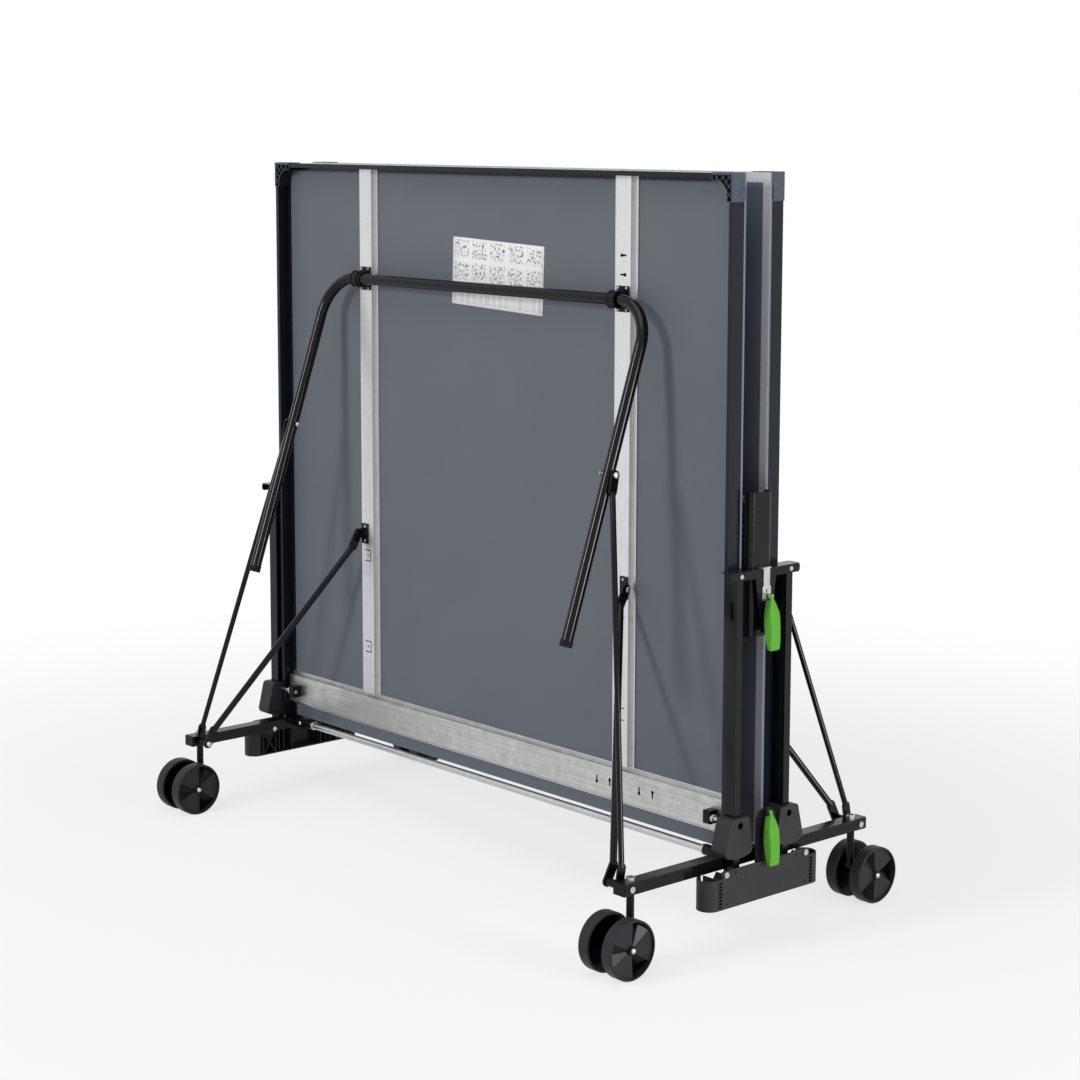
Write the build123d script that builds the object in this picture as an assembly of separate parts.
"""Folding outdoor table tennis table, shown folded up on its wheels.

Frame: X runs along the net, Y is the direction in which the halves open, Z is up.
The origin is on the floor under the middle of the base. Everything is drawn once for the
end at +X and the half at +Y, and mirrored to the other end and the other half.
"""

import os
from math import atan2, cos, degrees, hypot, radians, sin, tan

from build123d import *

# Playing halves
TABLE_WIDTH = 1525.0
HALF_LENGTH = 1370.0
PLAYING_HEIGHT = 760.0
PANEL_THICKNESS = 5.5
APRON_DEPTH = 32.5
APRON_WALL = 2.0
APRON_FLANGE = 10.0
APRON_FOOT = 18.0
FOLDED_GAP = 69.0
NET_EDGE_HEIGHT = 187.0
NET_SLOT = 6.0

# Sliding hinge
PIN_RADIUS = 4.0
RUNNING_CLEARANCE = 0.06
MOVING_CLEARANCE = 0.6
POST_DEPTH = 28.0
POST_WIDTH = 18.0
POST_WALL = 2.0
POST_SIDE_GAP = 5.5
POST_CENTRE = 72.0
LOCK_SLOT_LENGTH = 36.0
LOCK_SLOT_WIDTH = 7.0
LOCK_SLOT_DROP = 80.0

# Carriage hoods
HOOD_TOP_HALF = 26.0
HOOD_BOTTOM_INNER = 37.0
HOOD_BOTTOM_OUTER = 44.0
HOOD_ABOVE_PIN = 16.0
HOOD_BELOW_PIN = 58.0
HOOD_SAG = 9.0
HOOD_WALL = 3.0
HOOD_CORNER = 9.0
HOOD_LOWER_CORNER = 12.0
HOOD_FRONT_GAP = 7.0
HOOD_SIGHT_HOLE = 7.0

# Base beams and casters
BEAM_WIDTH = 32.0
BEAM_HEIGHT = 25.0
BEAM_WALL = 2.0
BEAM_HALF_LENGTH = 355.0
BEAM_UNDER_BOARD = 2.5
END_CAP = 3.0
STRUT_BOLT_INSET = 17.0
BOLT_RADIUS = 4.0
BOLT_HEAD_RADIUS = 6.5
BOLT_HEAD = 4.0
BOLT_NUT_FLATS = 13.0
CASTER_INSET = 29.0
CASTER_TRAIL = 36.0
WHEEL_RADIUS = 61.0
WHEEL_WIDTH = 28.0
WHEEL_GAP = 38.0
WHEEL_EDGE = 2.0
WHEEL_HUB = 9.5
WHEEL_RECESS = 6.0
WHEEL_FOLD_DEPTH = 12.0
WHEEL_RIM = 4.5
WHEEL_FOLDS = 3
WHEEL_FOLD_HALF_ANGLE = 26.0
AXLE_RADIUS = 5.5
STEM_RADIUS = 8.0
STEM_PIN_RADIUS = 6.0
FORK_HUB_RADIUS = 15.0
FORK_NECK_ABOVE_AXLE = 20.0
FORK_CHEEK_GAP = 1.0
NUT_HEIGHT = 7.5
NUT_FLATS = 18.0

# Tie rods
ROD_RADIUS = 8.0
ROD_Y = 40.0
ROD_SOCKET_LENGTH = 22.0
ROD_SOCKET_WALL = 4.0
ROD_BRACKET_LENGTH = 36.0

# Base covers
COVER_HALF_LENGTH = 166.0
COVER_END_RADIUS = 25.0
COVER_WALL = 3.0
COVER_FRONT_GAP = 12.0
COVER_HEIGHT = 63.0
COVER_BEAM_GAP = 2.0
COVER_BROW = 15.5
COVER_BROW_HALF = 128.0
COVER_RIB = 2.0
COVER_RIB_INNER = 45.0
COVER_RIB_MIDDLE = 94.0
COVER_RIB_OUTER = 132.0
LOUVRE_COUNT = 8
LOUVRE_HEIGHT = 4.5
LOUVRE_LENGTH = 11.0

# Bridges, net posts and net
BRIDGE_HALF_LENGTH = 100.0
BRIDGE_HEIGHT = 18.0
BRIDGE_RISE = 12.0
BRIDGE_SHEET = 2.0
BRIDGE_BOLT_RADIUS = 5.0
TONGUE_LENGTH = 112.0
TONGUE_TOP_HALF = 30.0
TONGUE_TIP_HALF = 11.0
NET_POST_HALF_WIDTH = 30.0
NET_POST_DEPTH = 20.0
NET_POST_SHEET = 2.0
NET_POST_ABOVE = 165.0
NET_POST_BELOW = 128.0
NET_HEIGHT = 152.5
NET_CORD = 2.0
NET_COLUMNS = 40
NET_ROWS = 6
NET_TAPE_HEIGHT = 15.0
NET_LIFT = 2.0

# Latches
LEVER_LENGTH = 112.0
LEVER_WIDTH = 35.0
LEVER_NECK = 8.0
LEVER_DEPTH = 24.0
LEVER_FRONT = 26.0
LEVER_PIN_RADIUS = 2.5
LEVER_EAR = 2.5
LEVER_STANDOFF = 8.0
LEVER_HEAD = 5.0
LEVER_TIP = 24.0
LEVER_BELLY = 68.0
LEVER_EDGE = 5.0
LEVER_TIP_THINNING = 2.0
LEVER_TIP_DEPTH = 9.0
LATCH_PLATE_HALF = 30.0
LATCH_PLATE_RISE = 110.0
HOOK_PLATE_HALF = 12.0
HOOK_STRAP_HALF = 9.0
HOOK_PLATE_DROP = 48.0
HOOK_PAD_HEIGHT = 32.0
HOOK_HOLE = 2.5
LATCH_SHEET = 2.5

# Stiffening rails under each panel
RAIL_X = 434.5
RAIL_FACE = 43.0
RAIL_FOOT = 68.0
RAIL_HEIGHT = 12.0
RAIL_WALL = 1.6
RAIL_LIP = 3.0
CROSS_RAIL_LOW = 39.0
CROSS_RAIL_FACE = 66.0
CROSS_RAIL_FOOT = 9.0
CROSS_RAIL_HEIGHT = 15.0
CROSS_RAIL_END = 8.0
CROSS_RAIL_GROOVE = 2.0
SLOT_LENGTH = 18.0
SLOT_WIDTH = 4.0
SLOT_HEAD = 4.0
SLOT_PITCH = 40.0
RAIL_SLOTS_FROM_FAR_EDGE = 194.0
CROSS_SLOTS_X = 451.0
TAB_WIDTH = 22.0
TAB_HEIGHT = 28.0
TAB_SLIT = 2.5
TAB_HOLE = 2.5
TAB_BELOW_BRACKET = 52.0
TAB_SPACING = 221.0
CROSS_SLOTS_SPREAD = 65.0
HINGE_BLOCK_INSET = 38.0
HINGE_BLOCK_LENGTH = 18.0
HINGE_BLOCK_HALF = 14.0
HINGE_BLOCK_COVER = 2.5
CAP_ARM = 58.0
CAP_WIDTH = 17.0
CAP_FILLET = 32.0
CAP_SKIN = 1.5
CAP_RIB = 1.4
CAP_POCKET = 6.0

# Legs
LEG_RADIUS = 12.5
LEG_WALL = 1.5
LEG_BEND = 92.0
LEG_X = 540.0
LEG_BAR_FROM_NET = 1106.0
LEG_BAR_STANDOFF = 22.0
LEG_FOLD_ANGLE = 18.9
FOOT_HEIGHT = 14.0
FOOT_WALL = 1.0
FOOT_SOLE = 4.0
FOOT_CLEARANCE = 1.0
CLAMP_WIDTH = 24.0
CLAMP_WALL = 5.5
CLAMP_PLATE_HALF = 27.0
CLAMP_PLATE = 3.0
CLAMP_SLEEVE = 8.0

# Struts
BOARD_STRUT_RADIUS = 7.5
LEG_STRUT_RADIUS = 6.0
EYE_RADIUS = 11.0
EYE_THICKNESS = 5.0
EYE_LENGTH = 34.0
EYE_LANE = 1.0
STRUT_SPACER = 27.0
STRUT_TOP_LEVEL = 10.0
BRACKET_SHEET = 2.5
BRACKET_HALF = 24.0

# Levels and lanes that follow from the sizes above
half_width = TABLE_WIDTH / 2
surface_y = FOLDED_GAP / 2
underside_y = surface_y + PANEL_THICKNESS
apron_y = underside_y + APRON_DEPTH
board_top = NET_EDGE_HEIGHT + HALF_LENGTH
pin_y = POST_CENTRE
pin_z = NET_EDGE_HEIGHT + pin_y - NET_SLOT / 2
pin_play_z = PLAYING_HEIGHT - (pin_y - surface_y)
post_in = half_width + POST_SIDE_GAP
post_out = post_in + POST_DEPTH
beam_out = post_in
beam_in = beam_out - BEAM_WIDTH
beam_mid = (beam_in + beam_out) / 2
strut_bolt_y = BEAM_HALF_LENGTH - STRUT_BOLT_INSET
caster_y = BEAM_HALF_LENGTH - CASTER_INSET
beam_top = NET_EDGE_HEIGHT - BEAM_UNDER_BOARD
beam_bottom = beam_top - BEAM_HEIGHT
beam_z = (beam_top + beam_bottom) / 2
cover_top = beam_bottom - COVER_BEAM_GAP
cover_bottom = cover_top - COVER_HEIGHT
cover_face = post_out + COVER_FRONT_GAP + COVER_WALL
brow_top = cover_top + COVER_BROW
bridge_top = PLAYING_HEIGHT + BRIDGE_RISE
bridge_bottom = bridge_top - BRIDGE_HEIGHT
bridge_face = post_out + BRIDGE_SHEET
net_post_out = half_width + 2 * MOVING_CLEARANCE + NET_POST_DEPTH + NET_POST_SHEET
wheel_centre_y = caster_y + CASTER_TRAIL
rail_face_y = underside_y + RAIL_HEIGHT
cross_face_y = underside_y + CROSS_RAIL_HEIGHT
cross_low_z = NET_EDGE_HEIGHT + CROSS_RAIL_LOW
cross_high_z = cross_low_z + CROSS_RAIL_FACE
bar_y = rail_face_y + LEG_BAR_STANDOFF
bar_z = NET_EDGE_HEIGHT + LEG_BAR_FROM_NET


def opened(y, z):
    """Where a point of a half lies once the half is lifted and laid flat."""
    return pin_y + (z - pin_z), pin_play_z - (y - pin_y)


bar_play_y, bar_play_z = opened(bar_y, bar_z)
leg_length = bar_play_z - FOOT_CLEARANCE

# The board strut keeps one length in both positions, which fixes its bracket's height.
strut_top_y = rail_face_y + STRUT_TOP_LEVEL
strut_top_z = pin_z + (
    (pin_y - strut_bolt_y) ** 2
    + (pin_play_z - (strut_top_y - pin_y) - beam_z) ** 2
    - (strut_top_y - strut_bolt_y) ** 2
    - (pin_z - beam_z) ** 2
) / (2 * ((pin_z - beam_z) - (pin_y - strut_bolt_y)))

# The leg strut keeps one length too, with the leg plumb in play, which fixes its bolt.
fold_tilt = radians(LEG_FOLD_ANGLE)
leg_bolt_drop = (
    (bar_play_y - strut_bolt_y) ** 2
    + (bar_play_z - beam_z) ** 2
    - (bar_y - strut_bolt_y) ** 2
    - (bar_z - beam_z) ** 2
) / (
    2 * (
        (bar_y - strut_bolt_y) * sin(fold_tilt)
        - (bar_z - beam_z) * cos(fold_tilt)
        + (bar_play_z - beam_z)
    )
)
leg_bolt_y = bar_y + leg_bolt_drop * sin(fold_tilt)
leg_bolt_z = bar_z - leg_bolt_drop * cos(fold_tilt)

os.makedirs("parts", exist_ok=True)


def span(x0, x1, y0, y1, z0, z1):
    """A block between two corners."""
    place = Pos((x0 + x1) / 2, (y0 + y1) / 2, (z0 + z1) / 2)
    return place * Box(abs(x1 - x0), abs(y1 - y0), abs(z1 - z0))


def round_x(x0, x1, y, z, radius):
    """A round bar along X."""
    return Pos((x0 + x1) / 2, y, z) * Rot(0, 90, 0) * Cylinder(radius, abs(x1 - x0))


def round_y(x, y0, y1, z, radius):
    """A round bar along Y."""
    return Pos(x, (y0 + y1) / 2, z) * Rot(90, 0, 0) * Cylinder(radius, abs(y1 - y0))


def round_z(x, y, z0, z1, radius):
    """A round bar along Z."""
    return Pos(x, y, (z0 + z1) / 2) * Cylinder(radius, abs(z1 - z0))


def plate_x(outline, x0, x1):
    """A flat shape drawn in Y and Z, given thickness along X."""
    return Pos(x0, 0, 0) * extrude(Plane.YZ * outline, x1 - x0, dir=(1, 0, 0))


def plate_y(outline, y0, y1):
    """A flat shape drawn in X and Z, given thickness along Y."""
    return Pos(0, y0, 0) * extrude(Plane.XZ * outline, y1 - y0, dir=(0, 1, 0))


def plate_z(outline, z0, z1):
    """A flat shape drawn in X and Y, given thickness along Z."""
    return Pos(0, 0, z0) * extrude(outline, z1 - z0, dir=(0, 0, 1))


def polygon(points):
    return make_face(Polyline(*points, close=True))


def symmetric(points):
    """An outline given by the points of its right side, in order."""
    return polygon(points + [(-across, along) for across, along in reversed(points) if across])


def as_drawn(piece):
    return piece


def other_end(piece):
    return mirror(piece, about=Plane.YZ)


def other_half(piece):
    return mirror(piece, about=Plane.XZ)


def both_ends(piece):
    return [piece, other_end(piece)]


def four_corners(piece):
    return both_ends(piece) + both_ends(other_half(piece))


def save(node, pieces):
    """Write one node, as separate solids."""
    solids = []
    for piece in pieces:
        solids.extend(piece.solids())
    export_step(Compound(solids), f"parts/{node}.step")


def save_halves(name, pieces):
    """Write the pieces of the rear half and their mirror image on the front half."""
    save(f"rear_{name}", pieces)
    save(f"front_{name}", [other_half(piece) for piece in pieces])


# Playing panel: a weatherproof sheet
panel = span(-half_width, half_width, surface_y, underside_y, NET_EDGE_HEIGHT, board_top)
save_halves("panel", [panel])


# Apron: three rolled channel profiles under the panel's rim, none along the net edge
def apron_side():
    wall = span(half_width - APRON_WALL, half_width, underside_y, apron_y, NET_EDGE_HEIGHT, board_top)
    flange = span(
        half_width - APRON_FLANGE, half_width, apron_y - APRON_WALL, apron_y,
        NET_EDGE_HEIGHT, board_top + CAP_SKIN - CAP_ARM,
    )
    pin_notch = round_x(
        half_width - 2 * APRON_FLANGE, half_width + APRON_WALL, pin_y, pin_z,
        PIN_RADIUS + 2 * MOVING_CLEARANCE,
    )
    foot = span(
        half_width - APRON_FOOT, half_width, underside_y, underside_y + APRON_WALL,
        NET_EDGE_HEIGHT, board_top - APRON_FOOT,
    )
    rail_gap = span(
        half_width - APRON_FOOT, half_width - APRON_WALL, underside_y, underside_y + APRON_WALL,
        cross_low_z - CROSS_RAIL_FOOT - RUNNING_CLEARANCE, cross_high_z + CROSS_RAIL_FOOT + RUNNING_CLEARANCE,
    )
    return wall + flange + (foot - rail_gap) - pin_notch


def apron_end():
    """The profile along the far edge, its foot cut out for the rails."""
    reach = half_width - APRON_WALL
    flange_reach = half_width + CAP_SKIN - CAP_ARM
    low = apron_y - APRON_WALL
    wall = span(-reach, reach, underside_y, apron_y, board_top - APRON_WALL, board_top)
    flange = span(-flange_reach, flange_reach, low, apron_y, board_top - APRON_FLANGE, board_top)
    foot_top = underside_y + APRON_WALL
    foot = span(-reach, reach, underside_y, foot_top, board_top - APRON_FOOT, board_top)
    rail_side = RAIL_FOOT / 2 + RUNNING_CLEARANCE
    rail_gap = span(
        RAIL_X - rail_side, RAIL_X + rail_side, underside_y, foot_top,
        board_top - APRON_FOOT, board_top - APRON_WALL,
    )
    for gap in both_ends(rail_gap):
        foot -= gap
    return wall + flange + foot


apron_pieces = both_ends(apron_side()) + [apron_end()]
save_halves("apron", apron_pieces)


# Corner protectors: moulded, clipped round the far corners, with crossed ribs underneath
def cap_face(skin, rim):
    """The cap's angle, drawn in by skin on its outer sides and by rim all round."""
    out_x = half_width + CAP_SKIN - skin - rim
    out_z = board_top + CAP_SKIN - skin - rim
    in_x = half_width + CAP_SKIN - CAP_WIDTH + rim
    in_z = board_top + CAP_SKIN - CAP_WIDTH + rim
    end_x = half_width + CAP_SKIN - CAP_ARM + rim
    end_z = board_top + CAP_SKIN - CAP_ARM + rim
    face = polygon([
        (out_x, out_z), (end_x, out_z), (end_x, in_z),
        (in_x, in_z), (in_x, end_z), (out_x, end_z),
    ])
    inner_corner = face.vertices().sort_by_distance((in_x, in_z, 0))[0]
    return fillet(inner_corner, CAP_FILLET)


def cap_ribs():
    """Crossed ribs along both arms, one crossing for every arm's width."""
    low = apron_y + CAP_SKIN - CAP_POCKET
    high = apron_y + CAP_SKIN
    mid_x = half_width - APRON_WALL - (CAP_WIDTH - CAP_SKIN - APRON_WALL) / 2
    mid_z = board_top - APRON_WALL - (CAP_WIDTH - CAP_SKIN - APRON_WALL) / 2
    ribs = []
    for step in range(int(CAP_ARM // CAP_WIDTH)):
        for place in ((mid_x, mid_z - step * CAP_WIDTH), (mid_x - step * CAP_WIDTH, mid_z)):
            for turn in (45, -45):
                bar = Rot(0, turn, 0) * Box(2 * CAP_WIDTH, high - low, CAP_RIB)
                ribs.append(Pos(place[0], (low + high) / 2, place[1]) * bar)
    return ribs


def corner_cap():
    bottom = apron_y + CAP_SKIN
    cap = plate_y(cap_face(0, 0), underside_y, bottom)
    pocket = plate_y(cap_face(CAP_SKIN + APRON_WALL, CAP_RIB), bottom - CAP_POCKET, bottom)
    for rib in cap_ribs():
        pocket -= rib
    cap -= pocket
    for piece in apron_pieces:
        cap -= piece
    return cap


save_halves("corner_caps", both_ends(corner_cap()))


# Stiffening rails: extruded hat sections fixed to the panel's underside
def hat_section(face, foot, height, wall):
    """A hat with flat feet that end in a raised lip."""
    half = face / 2
    hollow = half - wall
    edge = foot / 2
    lip = edge - RAIL_LIP
    return symmetric([
        (half, height), (half, wall), (lip, wall), (lip, 2 * wall), (edge, 2 * wall),
        (edge, 0), (hollow, 0), (hollow, height - wall),
    ])


def accessory_slot(x, z, turn):
    """A cutter for one of the keyholes that accessories hook into, its round end turned from +X."""
    keyhole = SlotOverall(SLOT_LENGTH, SLOT_WIDTH) + Pos(SLOT_LENGTH / 2 - SLOT_HEAD, 0) * Circle(SLOT_HEAD)
    return plate_y(Pos(x, z) * Rot(0, 0, turn) * keyhole, underside_y, apron_y)


def bracket_seat(z):
    """A cutter for a punched tab, open towards the table's side, with a hole in its middle."""
    outline = Rectangle(TAB_WIDTH, TAB_HEIGHT)
    tongue = Rectangle(TAB_WIDTH - TAB_SLIT, TAB_HEIGHT - 2 * TAB_SLIT)
    outline -= Pos(TAB_SLIT / 2, 0) * tongue
    outline += Circle(TAB_HOLE)
    return plate_y(Pos(RAIL_X, z) * outline, rail_face_y - RAIL_WALL, rail_face_y)


def support_rail():
    section = Pos(RAIL_X, underside_y) * hat_section(RAIL_FACE, RAIL_FOOT, RAIL_HEIGHT, RAIL_WALL)
    rail = plate_z(section, cross_high_z + CROSS_RAIL_FOOT, board_top - APRON_WALL)
    upper_seat = strut_top_z - TAB_BELOW_BRACKET
    for z in (upper_seat, upper_seat - TAB_SPACING):
        rail -= bracket_seat(z)
    return rail


def slotted_support_rail():
    rail = support_rail()
    for step, turn in ((-SLOT_PITCH / 2, 0), (SLOT_PITCH / 2, 180)):
        rail -= accessory_slot(RAIL_X, board_top - RAIL_SLOTS_FROM_FAR_EDGE + step, turn)
    return rail


def cross_rail():
    foot = CROSS_RAIL_FACE + 2 * CROSS_RAIL_FOOT
    reach = half_width - APRON_WALL - CROSS_RAIL_END
    section = hat_section(CROSS_RAIL_FACE, foot, CROSS_RAIL_HEIGHT, RAIL_WALL)
    mid_z = (cross_low_z + cross_high_z) / 2
    across = Plane((reach, underside_y, mid_z), x_dir=(0, 0, 1), z_dir=(-1, 0, 0))
    rail = extrude(across * section, 2 * reach)
    groove_z = cross_high_z - CROSS_RAIL_FACE / 4
    groove = span(
        -reach, reach, cross_face_y - RAIL_WALL / 2, cross_face_y,
        groove_z, groove_z + CROSS_RAIL_GROOVE,
    )
    rail -= groove
    for group in (-CROSS_SLOTS_SPREAD, CROSS_SLOTS_SPREAD):
        for step, turn in ((-SLOT_PITCH / 2, -90), (SLOT_PITCH / 2, 90)):
            rail -= accessory_slot(CROSS_SLOTS_X + group + step, mid_z, turn)
    return rail


save_halves("support_rails", [slotted_support_rail(), other_end(support_rail())])
save_halves("cross_rail", [cross_rail()])


# Hinge blocks: bearings for the hinge pins at the ends of the cross rail
block_out = half_width - HINGE_BLOCK_INSET
block_in = block_out - HINGE_BLOCK_LENGTH
block_high = pin_y + PIN_RADIUS + HINGE_BLOCK_COVER


def hinge_block():
    block = span(
        block_in, block_out, cross_face_y, block_high,
        pin_z - HINGE_BLOCK_HALF, pin_z + HINGE_BLOCK_HALF,
    )
    crown = block.edges().filter_by(Axis.X).group_by(Axis.Y)[-1]
    block = fillet(crown, HINGE_BLOCK_COVER)
    return block - round_x(block_in, block_out, pin_y, pin_z, PIN_RADIUS + RUNNING_CLEARANCE)


save_halves("hinge_blocks", both_ends(hinge_block()))


# Carriage: a hinge pin with a guide roller inside each post, under a moulded hood
hood_in = post_in - MOVING_CLEARANCE - HOOD_WALL
hood_out = post_out + HOOD_FRONT_GAP + HOOD_WALL
roller_radius = POST_WIDTH / 2 - POST_WALL - MOVING_CLEARANCE / 2
roller_in = post_in + POST_WALL + MOVING_CLEARANCE
roller_out = post_out - POST_WALL - MOVING_CLEARANCE


def hood_outline(wall, deeper):
    top = pin_z + HOOD_ABOVE_PIN - wall
    bottom = pin_z - HOOD_BELOW_PIN - deeper
    top_half = HOOD_TOP_HALF - wall
    inner = (pin_y - HOOD_BOTTOM_INNER + wall, bottom)
    outer = (pin_y + HOOD_BOTTOM_OUTER - wall, bottom)
    sides = Polyline(inner, (pin_y - top_half, top), (pin_y + top_half, top), outer)
    belly = ThreePointArc(outer, (pin_y, bottom - HOOD_SAG), inner)
    face = make_face([*sides.edges(), belly])
    corners = face.vertices().group_by(Axis.Y)
    face = fillet(corners[-1], HOOD_CORNER - wall)
    return fillet(face.vertices().group_by(Axis.Y)[0], HOOD_LOWER_CORNER - wall)


def hood():
    shell = plate_x(hood_outline(0, 0), hood_in, hood_out)
    shell -= plate_x(hood_outline(HOOD_WALL, HOOD_BELOW_PIN), hood_in + HOOD_WALL, hood_out - HOOD_WALL)
    half = POST_WIDTH / 2 + MOVING_CLEARANCE
    shell -= span(
        post_in - MOVING_CLEARANCE, post_out + MOVING_CLEARANCE,
        pin_y - half, pin_y + half, pin_z, pin_z + 2 * HOOD_ABOVE_PIN,
    )
    shell -= round_x(hood_in, post_in, pin_y, pin_z, PIN_RADIUS)
    return shell - round_x(post_out, hood_out, pin_y, pin_z, HOOD_SIGHT_HOLE)


def hinge_pin():
    return round_x(block_in - APRON_WALL, roller_out, pin_y, pin_z, PIN_RADIUS)


def guide_roller():
    roller = round_x(roller_in, roller_out, pin_y, pin_z, roller_radius)
    return roller - round_x(roller_in, roller_out, pin_y, pin_z, PIN_RADIUS)


save_halves("carriage_hoods", both_ends(hood()))
save_halves("hinge_pins", both_ends(hinge_pin()) + both_ends(guide_roller()))


# Leg: one bent tube with its bar turning in two clamps, and a rubber foot on each end
def on_leg(piece):
    """Put a piece drawn on a hanging leg into the folded leg's place."""
    return Pos(0, bar_y, bar_z) * Rot(LEG_FOLD_ANGLE, 0, 0) * piece


def leg_tube():
    end = FOOT_SOLE - leg_length
    path = FilletPolyline(
        (-LEG_X, 0, end), (-LEG_X, 0, 0), (LEG_X, 0, 0), (LEG_X, 0, end), radius=LEG_BEND,
    )
    ring = Circle(LEG_RADIUS) - Circle(LEG_RADIUS - LEG_WALL)
    return on_leg(sweep(Plane(path @ 0, z_dir=path % 0) * ring, path=path))


def leg_foot():
    bottom = -leg_length
    foot = round_z(LEG_X, 0, bottom, bottom + FOOT_HEIGHT, LEG_RADIUS + FOOT_WALL)
    sole_edge = foot.edges().filter_by(GeomType.CIRCLE).sort_by(Axis.Z)[0]
    foot = fillet(sole_edge, FOOT_WALL)
    return on_leg(foot - round_z(LEG_X, 0, bottom + FOOT_SOLE, bottom + FOOT_HEIGHT, LEG_RADIUS))


def leg_clamp():
    ring_radius = LEG_RADIUS + CLAMP_WALL
    left = RAIL_X - CLAMP_WIDTH / 2
    right = RAIL_X + CLAMP_WIDTH / 2
    plate = span(
        RAIL_X - ring_radius, RAIL_X + ring_radius, rail_face_y, rail_face_y + CLAMP_PLATE,
        bar_z - CLAMP_PLATE_HALF, bar_z + CLAMP_PLATE_HALF,
    )
    saddle = span(
        left + CLAMP_PLATE, right - CLAMP_PLATE, rail_face_y, bar_y,
        bar_z - LEG_RADIUS, bar_z + LEG_RADIUS,
    )
    ring = round_x(left, right, bar_y, bar_z, ring_radius)
    sleeve = round_x(left - CLAMP_SLEEVE, left, bar_y, bar_z, LEG_RADIUS + CLAMP_WALL / 2)
    bore = round_x(left - CLAMP_SLEEVE, right, bar_y, bar_z, LEG_RADIUS + RUNNING_CLEARANCE)
    return plate + saddle + ring + sleeve - bore


save_halves("leg", [leg_tube()])
save_halves("leg_feet", both_ends(leg_foot()))
save_halves("leg_clamps", both_ends(leg_clamp()))


# Struts: tubes with flattened, drilled ends
def strut(top, bottom, radius, eye_radius):
    """A strut between two pivots, each given by its eye's inner face, its Y and its Z."""
    run_y = bottom[1] - top[1]
    run_z = bottom[2] - top[2]
    length = hypot(run_y, run_z)
    turn = degrees(atan2(run_z, run_y))
    eyes = []
    ends = []
    for (lane, y, z), reach in ((top, EYE_LENGTH), (bottom, -EYE_LENGTH)):
        step_y = run_y / length * reach
        step_z = run_z / length * reach
        place = Pos(y + step_y / 2, z + step_z / 2) * Rot(0, 0, turn)
        eye = place * SlotCenterToCenter(EYE_LENGTH, 2 * eye_radius)
        eye -= Pos(y, z) * Circle(BOLT_RADIUS + RUNNING_CLEARANCE)
        eyes.append(plate_x(eye, lane, lane + EYE_THICKNESS))
        ends.append(Vector(lane + EYE_THICKNESS / 2, y + step_y, z + step_z))
    line = Line(*ends)
    tube = sweep(Plane(line @ 0, z_dir=line % 0) * Circle(radius), path=line)
    return eyes[0] + tube + eyes[1]


def headed_bolt(tip_x, head_x, y, z):
    """A bolt from its tip to the underside of its head."""
    away = BOLT_HEAD if head_x > tip_x else -BOLT_HEAD
    shaft = round_x(tip_x, head_x, y, z, BOLT_RADIUS)
    return shaft + round_x(head_x, head_x + away, y, z, BOLT_HEAD_RADIUS)


bracket_face = RAIL_X + RAIL_FACE / 2
bracket_eye_x = bracket_face + EYE_LANE
beam_eye_x = beam_in - EYE_LANE - EYE_THICKNESS
lock_nut_x = beam_eye_x - MOVING_CLEARANCE - STRUT_SPACER
foot_eye_x = lock_nut_x - EYE_LANE - EYE_THICKNESS
leg_face = LEG_X + LEG_RADIUS
leg_eye_x = leg_face + LEG_STRUT_RADIUS + MOVING_CLEARANCE - EYE_THICKNESS / 2

board_strut = strut(
    (bracket_eye_x, strut_top_y, strut_top_z), (foot_eye_x, strut_bolt_y, beam_z),
    BOARD_STRUT_RADIUS, EYE_RADIUS,
)
leg_strut = strut(
    (leg_eye_x, leg_bolt_y, leg_bolt_z), (beam_eye_x, strut_bolt_y, beam_z),
    LEG_STRUT_RADIUS, EYE_RADIUS - EYE_LANE,
)
foot_bolt = headed_bolt(lock_nut_x - MOVING_CLEARANCE, foot_eye_x, strut_bolt_y, beam_z)
leg_bolt = headed_bolt(leg_face + MOVING_CLEARANCE, leg_eye_x + EYE_THICKNESS, leg_bolt_y, leg_bolt_z)
save_halves("board_struts", both_ends(board_strut) + both_ends(foot_bolt))
save_halves("leg_struts", both_ends(leg_strut) + both_ends(leg_bolt))


# Strut brackets: pressed steel on the rails, each with a headed stud for the strut's eye
def strut_bracket():
    plate = span(
        bracket_face - BRACKET_HALF, bracket_face, rail_face_y, rail_face_y + BRACKET_SHEET,
        strut_top_z - BRACKET_HALF, strut_top_z + BRACKET_HALF,
    )
    ear = Pos(strut_top_y, strut_top_z) * Circle(EYE_RADIUS)
    ear += Pos((rail_face_y + strut_top_y) / 2, strut_top_z) * Rectangle(STRUT_TOP_LEVEL, 2 * EYE_RADIUS)
    ear = plate_x(ear, bracket_face - BRACKET_SHEET, bracket_face)
    ear -= span(0, half_width, underside_y, rail_face_y, NET_EDGE_HEIGHT, board_top)
    stud_end = bracket_eye_x + EYE_THICKNESS + MOVING_CLEARANCE
    return plate + ear + headed_bolt(bracket_face, stud_end, strut_top_y, strut_top_z)


save_halves("strut_brackets", both_ends(strut_bracket()))


# Base beam: a steel tube across each end, with plugs, carrying casters and posts
stem_bore = STEM_PIN_RADIUS + RUNNING_CLEARANCE


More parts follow.
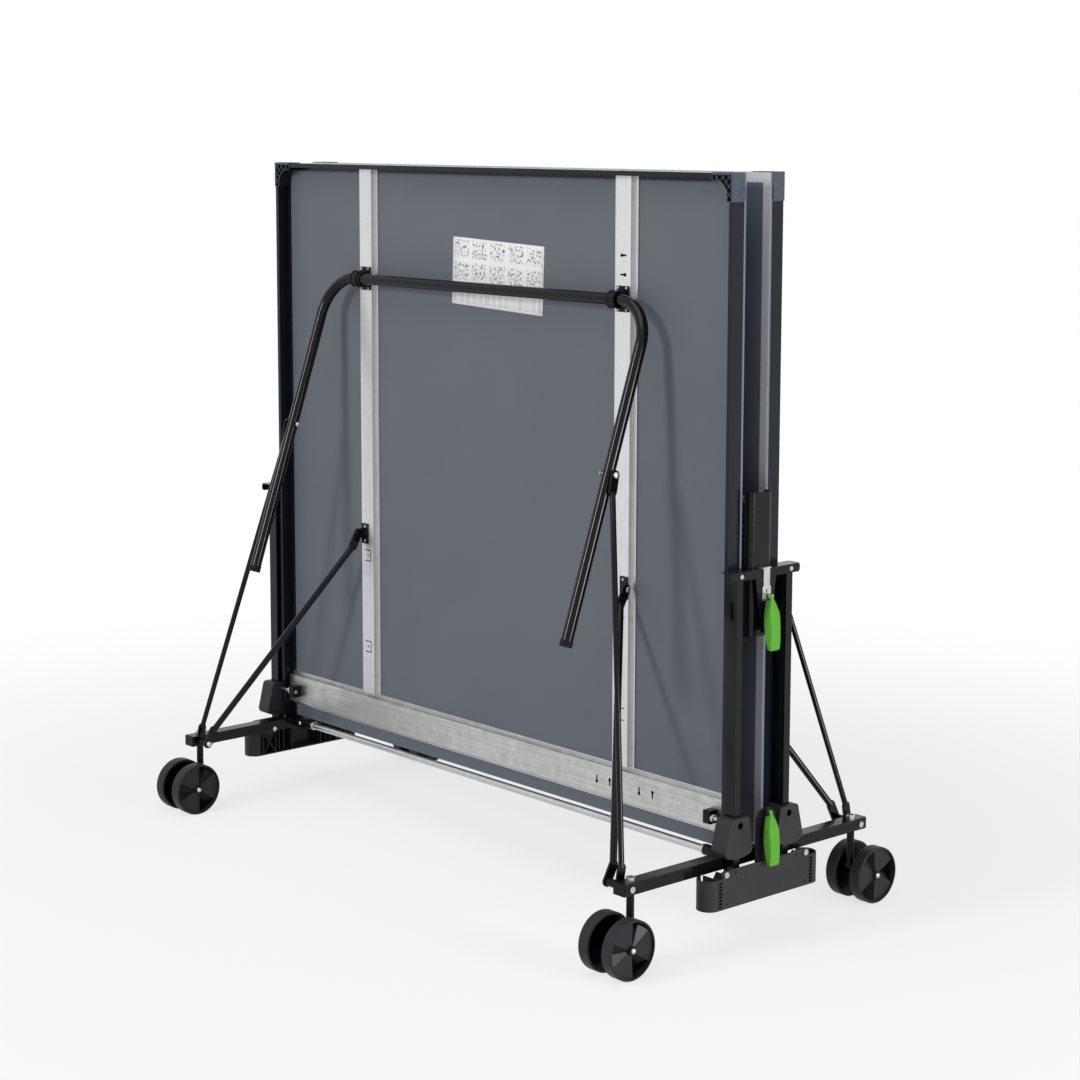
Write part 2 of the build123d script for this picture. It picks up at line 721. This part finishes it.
def base_beam():
    beam = span(beam_in, beam_out, -BEAM_HALF_LENGTH, BEAM_HALF_LENGTH, beam_bottom, beam_top)
    beam -= span(
        beam_in + BEAM_WALL, beam_out - BEAM_WALL, -BEAM_HALF_LENGTH, BEAM_HALF_LENGTH,
        beam_bottom + BEAM_WALL, beam_top - BEAM_WALL,
    )
    for side in (-1, 1):
        beam -= round_x(beam_in, beam_out, side * strut_bolt_y, beam_z, BOLT_RADIUS)
        beam -= round_z(beam_mid, side * caster_y, beam_bottom, beam_top, stem_bore)
    return beam


def beam_plug():
    lid = span(
        beam_in, beam_out, BEAM_HALF_LENGTH, BEAM_HALF_LENGTH + END_CAP, beam_bottom, beam_top,
    )
    lid = fillet(lid.edges().group_by(Axis.Y)[-1], END_CAP / 2)
    tongue = span(
        beam_in + BEAM_WALL, beam_out - BEAM_WALL, BEAM_HALF_LENGTH - 2 * END_CAP, BEAM_HALF_LENGTH,
        beam_bottom + BEAM_WALL, beam_top - BEAM_WALL,
    )
    return lid + tongue


beam_right = base_beam()
save("base_beam_right", [beam_right])
save("base_beam_left", [other_end(beam_right)])
save("beam_end_caps", four_corners(beam_plug()))


# Casters: a moulded fork trailing outward, with twin dished wheels on one axle
axle_z = WHEEL_RADIUS
wheel_in = WHEEL_GAP / 2
wheel_out = wheel_in + WHEEL_WIDTH
washer_radius = STEM_RADIUS + BEAM_WALL
fork_top = beam_bottom - MOVING_CLEARANCE


def caster_fork():
    neck_z = axle_z + FORK_NECK_ABOVE_AXLE
    stem = round_z(beam_mid, caster_y, neck_z, fork_top, STEM_RADIUS)
    washer = round_z(beam_mid, caster_y, fork_top - BEAM_WALL, fork_top, washer_radius)
    pin = round_z(beam_mid, caster_y, fork_top, beam_top + NUT_HEIGHT - BEAM_WALL, STEM_PIN_RADIUS)
    neck = Pos(caster_y, neck_z) * Circle(STEM_RADIUS)
    boss = Pos(wheel_centre_y, axle_z) * Circle(FORK_HUB_RADIUS)
    side = make_hull([*neck.edges(), *boss.edges()])
    arm = plate_x(side, beam_mid - STEM_RADIUS, beam_mid + STEM_RADIUS)
    cheek = wheel_in - FORK_CHEEK_GAP
    hub = round_x(beam_mid - cheek, beam_mid + cheek, wheel_centre_y, axle_z, FORK_HUB_RADIUS)
    axle_end = wheel_out + FORK_CHEEK_GAP
    axle = round_x(beam_mid - axle_end, beam_mid + axle_end, wheel_centre_y, axle_z, AXLE_RADIUS)
    fork = stem + washer + pin + arm + hub + axle
    for end in (-1, 1):
        fork += round_x(
            beam_mid + end * (wheel_out + MOVING_CLEARANCE),
            beam_mid + end * axle_end, wheel_centre_y, axle_z, WHEEL_HUB - FORK_CHEEK_GAP,
        )
    return fork


def wheel():
    """A wheel about Z: a recessed face on top, folded into ridges and valleys round the hub."""
    disc = Cylinder(WHEEL_RADIUS, WHEEL_WIDTH)
    disc = chamfer(disc.edges().filter_by(GeomType.CIRCLE), WHEEL_EDGE)
    top = WHEEL_WIDTH / 2
    ridge = top - WHEEL_RECESS
    inside = Cylinder(WHEEL_RADIUS - WHEEL_RIM, 2 * WHEEL_WIDTH)
    recess = Pos(0, 0, top) * Cylinder(WHEEL_RADIUS - WHEEL_RIM, 2 * WHEEL_RECESS)
    slope = WHEEL_FOLD_DEPTH / WHEEL_RADIUS
    spread = tan(radians(WHEEL_FOLD_HALF_ANGLE)) * 2 * WHEEL_RADIUS
    notch = symmetric([(0, ridge), (spread, ridge + 2 * WHEEL_FOLD_DEPTH)])
    valley = extrude(Plane.YZ * notch, 2 * WHEEL_RADIUS, dir=(1, 0, -slope)) & inside
    disc -= recess
    for number in range(WHEEL_FOLDS):
        disc -= Rot(0, 0, 90 + 360 / WHEEL_FOLDS * number) * valley
    disc += Pos(0, 0, (ridge + top) / 2) * Cylinder(WHEEL_HUB, WHEEL_RECESS)
    return disc - Cylinder(AXLE_RADIUS + RUNNING_CLEARANCE, 2 * WHEEL_WIDTH)


wheel_drawn = wheel()
fork_drawn = caster_fork()
wheel_pair = []
for side, turn in ((1, 90), (-1, -90)):
    place = Pos(beam_mid + side * (wheel_in + wheel_out) / 2, wheel_centre_y, axle_z)
    wheel_pair.append(place * Rot(0, turn, 0) * wheel_drawn)

for half_name, to_half in (("rear", as_drawn), ("front", other_half)):
    for end_name, to_end in (("right", as_drawn), ("left", other_end)):
        corner = f"{half_name}_{end_name}"
        save(f"{corner}_caster_fork", [to_end(to_half(fork_drawn))])
        save(f"{corner}_outer_wheel", [to_end(to_half(wheel_pair[0]))])
        save(f"{corner}_inner_wheel", [to_end(to_half(wheel_pair[1]))])


# Tie rods: two plated rods between the ends, held in sockets on the beams' inner faces
rod_end = beam_in - ROD_BRACKET_LENGTH
socket_in = rod_end - ROD_SOCKET_LENGTH


def tie_rod():
    return round_x(-rod_end, rod_end, ROD_Y, beam_z, ROD_RADIUS)


def rod_bracket():
    radius = ROD_RADIUS + ROD_SOCKET_WALL
    socket = round_x(socket_in, rod_end + ROD_SOCKET_WALL, ROD_Y, beam_z, radius)
    stalk = span(
        rod_end, beam_in, ROD_Y - radius, ROD_Y + radius, beam_bottom + BEAM_WALL, beam_top - BEAM_WALL,
    )
    return socket + stalk - round_x(socket_in, rod_end, ROD_Y, beam_z, ROD_RADIUS)


save("tie_rods", [tie_rod(), other_half(tie_rod())])
save("rod_brackets", four_corners(rod_bracket()))


# Base cover: a moulded tub round the posts' feet, with a brow and louvred ends
cover_x = cover_face - COVER_END_RADIUS
cover_back = cover_face - 2 * COVER_END_RADIUS
cover_floor = cover_bottom + COVER_WALL


def cover_ribs():
    """Upright ribs behind the cover's face, crossed ones between the outer two."""
    low = cover_floor
    high = cover_top - COVER_RIB
    ribs = []
    for y in (COVER_RIB_INNER, COVER_RIB_MIDDLE, COVER_RIB_OUTER):
        ribs.append(span(cover_back, cover_face, y - COVER_RIB / 2, y + COVER_RIB / 2, low, high))
    rise = high - low
    run = COVER_RIB_OUTER - COVER_RIB_MIDDLE
    middle = Pos(cover_x, (COVER_RIB_MIDDLE + COVER_RIB_OUTER) / 2, (low + high) / 2)
    slope = degrees(atan2(rise, run))
    for lean in (-slope, slope):
        bar = Box(2 * COVER_END_RADIUS, hypot(rise, run), COVER_RIB)
        ribs.append(middle * Rot(lean, 0, 0) * bar)
    return ribs


def base_cover():
    plan = Pos(cover_x, 0) * SlotOverall(2 * COVER_HALF_LENGTH, 2 * COVER_END_RADIUS, rotation=90)
    room = Pos(cover_x, 0) * SlotOverall(
        2 * (COVER_HALF_LENGTH - COVER_WALL), 2 * (COVER_END_RADIUS - COVER_WALL), rotation=90,
    )
    outside = plate_z(plan, cover_bottom, cover_top)
    cover = outside - plate_z(room, cover_floor, cover_top)
    inside = cover_face - COVER_WALL
    straight = COVER_HALF_LENGTH - COVER_END_RADIUS
    cover -= span(cover_back, cover_back + COVER_WALL, -straight, straight, cover_floor, cover_top)
    for rib in cover_ribs():
        rib &= outside
        cover += rib
        cover += other_half(rib)
    cover += span(inside, cover_face, -COVER_BROW_HALF, COVER_BROW_HALF, cover_top, brow_top)
    pitch = COVER_HEIGHT / (LOUVRE_COUNT + 1)
    for row in range(LOUVRE_COUNT):
        z = cover_bottom + pitch * (row + 1)
        for side in (-1, 1):
            cover -= span(
                inside, cover_face, side * COVER_BROW_HALF, side * (COVER_BROW_HALF + LOUVRE_LENGTH),
                z - LOUVRE_HEIGHT / 2, z + LOUVRE_HEIGHT / 2,
            )
    return cover


cover_right = base_cover()
save("base_cover_right", [cover_right])
save("base_cover_left", [other_end(cover_right)])


# Guide posts: lipped channels, open towards the board, that the rollers run in
def guide_post():
    half = POST_WIDTH / 2
    slot_half = PIN_RADIUS + MOVING_CLEARANCE
    top = bridge_top - BRIDGE_SHEET
    post = span(post_in, post_out, pin_y - half, pin_y + half, cover_floor, top)
    post -= span(
        post_in + POST_WALL, post_out - POST_WALL,
        pin_y - half + POST_WALL, pin_y + half - POST_WALL, cover_floor, top,
    )
    post -= span(post_in, post_in + POST_WALL, pin_y - slot_half, pin_y + slot_half, cover_floor, top)
    lock_x = (post_in + post_out) / 2
    lock_top = bridge_bottom - LOCK_SLOT_DROP + LOCK_SLOT_LENGTH
    post -= span(
        lock_x - LOCK_SLOT_WIDTH / 2, lock_x + LOCK_SLOT_WIDTH / 2,
        pin_y + half - POST_WALL, pin_y + half, lock_top - LOCK_SLOT_LENGTH, lock_top,
    )
    return post


save("guide_posts", four_corners(guide_post()))


# Bridge: a folded sheet over each pair of posts, with a tapering tongue for the latch
def bridge():
    band = Pos(0, (bridge_bottom + bridge_top) / 2) * RectangleRounded(
        2 * BRIDGE_HALF_LENGTH, BRIDGE_HEIGHT, BRIDGE_HEIGHT / 3,
    )
    tongue = symmetric([
        (TONGUE_TOP_HALF, bridge_bottom), (TONGUE_TIP_HALF, bridge_bottom - TONGUE_LENGTH),
    ])
    face = plate_x(band + tongue, post_out, bridge_face)
    lid = Pos((post_in + bridge_face) / 2, 0) * RectangleRounded(
        bridge_face - post_in, 2 * BRIDGE_HALF_LENGTH, BRIDGE_HEIGHT / 3,
    )
    lid -= Pos((post_in + net_post_out) / 2, 0) * Rectangle(
        net_post_out - post_in, 2 * (NET_POST_HALF_WIDTH + MOVING_CLEARANCE),
    )
    return face + plate_z(lid, bridge_top - BRIDGE_SHEET, bridge_top)


bridge_right = bridge()
save("bridge_right", [bridge_right])
save("bridge_left", [other_end(bridge_right)])


# Net posts: channels between the folded halves, bolted to the tongue through a lug
def net_post():
    low = PLAYING_HEIGHT - NET_POST_BELOW
    high = PLAYING_HEIGHT + NET_POST_ABOVE
    inner = net_post_out - NET_POST_DEPTH - NET_POST_SHEET
    bend = NET_POST_DEPTH / 2
    post = span(inner, net_post_out, -NET_POST_HALF_WIDTH, NET_POST_HALF_WIDTH, low, high)
    corners = post.edges().filter_by(Axis.Z).group_by(Axis.X)[-1]
    post = fillet(corners, bend)
    room_half = NET_POST_HALF_WIDTH - NET_POST_SHEET
    room = span(inner, net_post_out - NET_POST_SHEET, -room_half, room_half, low, high)
    room_corners = room.edges().filter_by(Axis.Z).group_by(Axis.X)[-1]
    post -= fillet(room_corners, bend - NET_POST_SHEET)
    lug_z = bridge_bottom - TONGUE_LENGTH / 2
    lug = span(
        net_post_out, post_out, -TONGUE_TIP_HALF, TONGUE_TIP_HALF,
        lug_z - TONGUE_TIP_HALF, lug_z + TONGUE_TIP_HALF,
    )
    return post + lug


save("net_posts", both_ends(net_post()))


# Net: an open mesh with a tape along its top, stretched between the net posts
def net():
    reach = net_post_out - NET_POST_SHEET
    low = PLAYING_HEIGHT + NET_LIFT
    tape_low = PLAYING_HEIGHT + NET_HEIGHT - NET_TAPE_HEIGHT
    pitch_x = (2 * reach - NET_CORD) / NET_COLUMNS
    pitch_z = (tape_low - low - NET_CORD) / NET_ROWS
    sheet = Rectangle(2 * reach, tape_low - low)
    cells = GridLocations(pitch_x, pitch_z, NET_COLUMNS, NET_ROWS)
    sheet -= cells * Rectangle(pitch_x - NET_CORD, pitch_z - NET_CORD)
    mesh = plate_y(Pos(0, (low + tape_low) / 2) * sheet, -NET_CORD / 2, NET_CORD / 2)
    tape = span(-reach, reach, -NET_CORD, NET_CORD, tape_low, tape_low + NET_TAPE_HEIGHT)
    return [mesh, tape]


save("net", net())


# Latches: a lever on a pin between two ears, low on the cover and high on the tongue
def latch_ears(face_x, pivot_z):
    """Two ears standing on a plate whose front is at face_x."""
    ears = []
    for side in (-1, 1):
        near = side * (LEVER_NECK / 2 + MOVING_CLEARANCE)
        far = side * (LEVER_NECK / 2 + MOVING_CLEARANCE + LEVER_EAR)
        ear = span(face_x, face_x + LEVER_STANDOFF, near, far, pivot_z - LEVER_HEAD, pivot_z + LEVER_HEAD)
        ear += round_y(face_x + LEVER_STANDOFF, near, far, pivot_z, LEVER_HEAD)
        ear -= round_y(face_x + LEVER_STANDOFF, near, far, pivot_z, LEVER_PIN_RADIUS)
        ears.append(ear)
    return ears


def lever_pin(face_x, pivot_z):
    reach = LEVER_NECK / 2 + MOVING_CLEARANCE + LEVER_EAR
    return round_y(face_x + LEVER_STANDOFF, -reach, reach, pivot_z, LEVER_PIN_RADIUS)


def lever(face_x, pivot_z):
    """A leaf shaped handle: its front, side and plan outlines crossed, its back leaning out to the tip."""
    pivot_x = face_x + LEVER_STANDOFF
    top = pivot_z + LEVER_HEAD
    bottom = top - LEVER_LENGTH
    back = pivot_x - LEVER_HEAD
    crest = back + LEVER_DEPTH
    neck = (LEVER_NECK / 2, pivot_z - LEVER_HEAD)
    belly = (LEVER_WIDTH / 2, pivot_z - LEVER_BELLY)
    tip = (LEVER_TIP / 2, bottom)
    left_side = [(-across, along) for across, along in (tip, belly, neck)]
    front_outline = make_face([
        Line((-neck[0], top), (neck[0], top)), Line((neck[0], top), neck), ThreePointArc(neck, belly, tip),
        Line(tip, left_side[0]), ThreePointArc(*left_side), Line(left_side[2], (-neck[0], top)),
    ])
    crest_arc = ThreePointArc(
        (pivot_x + LEVER_HEAD, top), (crest, pivot_z - LEVER_BELLY), (crest - LEVER_TIP_THINNING, bottom),
    )
    tip_back = crest - LEVER_TIP_THINNING - LEVER_TIP_DEPTH
    side_outline = make_face([
        Line((back, top), crest_arc @ 0), crest_arc, Line(crest_arc @ 1, (tip_back, bottom)),
        Line((tip_back, bottom), (back, neck[1])), Line((back, neck[1]), (back, top)),
    ])
    half = LEVER_WIDTH / 2
    front = LEVER_FRONT / 2
    plan = polygon([
        (back, -half), (back + LEVER_EDGE, -half), (crest, -front),
        (crest, front), (back + LEVER_EDGE, half), (back, half),
    ])
    handle = plate_x(front_outline, back, crest) & plate_y(side_outline, -LEVER_WIDTH, LEVER_WIDTH)
    handle &= plate_z(plan, bottom, top)
    bore = round_y(pivot_x, -LEVER_WIDTH, LEVER_WIDTH, pivot_z, LEVER_PIN_RADIUS + RUNNING_CLEARANCE)
    return handle - bore


latch_front = cover_face - COVER_WALL
latch_top = brow_top + LATCH_PLATE_RISE
low_pivot_z = latch_top - 2 * LEVER_HEAD
hook_front = bridge_face + LATCH_SHEET
high_pivot_z = bridge_bottom - HOOK_PLATE_DROP + 2 * LEVER_HEAD


def latch_plate():
    low = cover_top - COVER_BROW
    outline = RectangleRounded(2 * LATCH_PLATE_HALF, latch_top - low, LATCH_PLATE_HALF - LATCH_SHEET)
    plate = plate_x(Pos(0, (low + latch_top) / 2) * outline, latch_front - LATCH_SHEET, latch_front)
    for ear in latch_ears(latch_front, low_pivot_z):
        plate += ear
    return plate


def hook_plate():
    """A plated strap hung over the bridge."""
    half = HOOK_PLATE_HALF
    low = bridge_bottom - HOOK_PLATE_DROP
    pad_z = low + HOOK_PAD_HEIGHT / 2
    pad = Pos(0, pad_z) * RectangleRounded(2 * half, HOOK_PAD_HEIGHT, LEVER_HEAD)
    strap = Pos(0, (pad_z + bridge_top) / 2) * Rectangle(2 * HOOK_STRAP_HALF, bridge_top - pad_z)
    outline = pad + strap - Pos(0, pad_z + LEVER_HEAD) * Circle(HOOK_HOLE)
    plate = plate_x(outline, bridge_face, hook_front)
    plate += span(net_post_out, hook_front, -half, half, bridge_top, bridge_top + LATCH_SHEET)
    for ear in latch_ears(hook_front, high_pivot_z):
        plate += ear
    return plate


save("latch_plates", both_ends(latch_plate()))
save("hook_plates", both_ends(hook_plate()))
low_lever = lever(latch_front, low_pivot_z)
high_lever = lever(hook_front, high_pivot_z)
save("lower_lever_right", [low_lever])
save("lower_lever_left", [other_end(low_lever)])
save("upper_lever_right", [high_lever])
save("upper_lever_left", [other_end(high_lever)])


# Fasteners fixed to the base
def hexagon(flats):
    return RegularPolygon(flats / 2, 6, major_radius=False)


def stem_nut():
    ring = Pos(beam_mid, caster_y) * (hexagon(NUT_FLATS) - Circle(stem_bore))
    return plate_z(ring, beam_top, beam_top + NUT_HEIGHT)


def strut_pivot_bolt():
    nut = Pos(strut_bolt_y, beam_z) * hexagon(BOLT_NUT_FLATS)
    bolt = headed_bolt(lock_nut_x, beam_out, strut_bolt_y, beam_z)
    return bolt + plate_x(nut, lock_nut_x, lock_nut_x + STRUT_SPACER)


def face_bolt(face_x, y, z, radius):
    """The head of a bolt on a face that looks along X."""
    head = round_x(face_x, face_x + BOLT_HEAD, y, z, radius)
    return chamfer(head.edges().filter_by(GeomType.CIRCLE).sort_by(Axis.X)[-1], BOLT_HEAD / 3)


bolts = four_corners(stem_nut()) + four_corners(strut_pivot_bolt())
bridge_mid_z = (bridge_bottom + bridge_top) / 2
brow_bolt_y = COVER_BROW_HALF - LOUVRE_LENGTH
brow_bolt_z = brow_top - COVER_BROW / 2
bolts += four_corners(face_bolt(bridge_face, pin_y, bridge_mid_z, BRIDGE_BOLT_RADIUS))
bolts += four_corners(face_bolt(cover_face, brow_bolt_y, brow_bolt_z, BOLT_HEAD_RADIUS))
bolts += both_ends(lever_pin(latch_front, low_pivot_z)) + both_ends(lever_pin(hook_front, high_pivot_z))
save("base_fasteners", bolts)
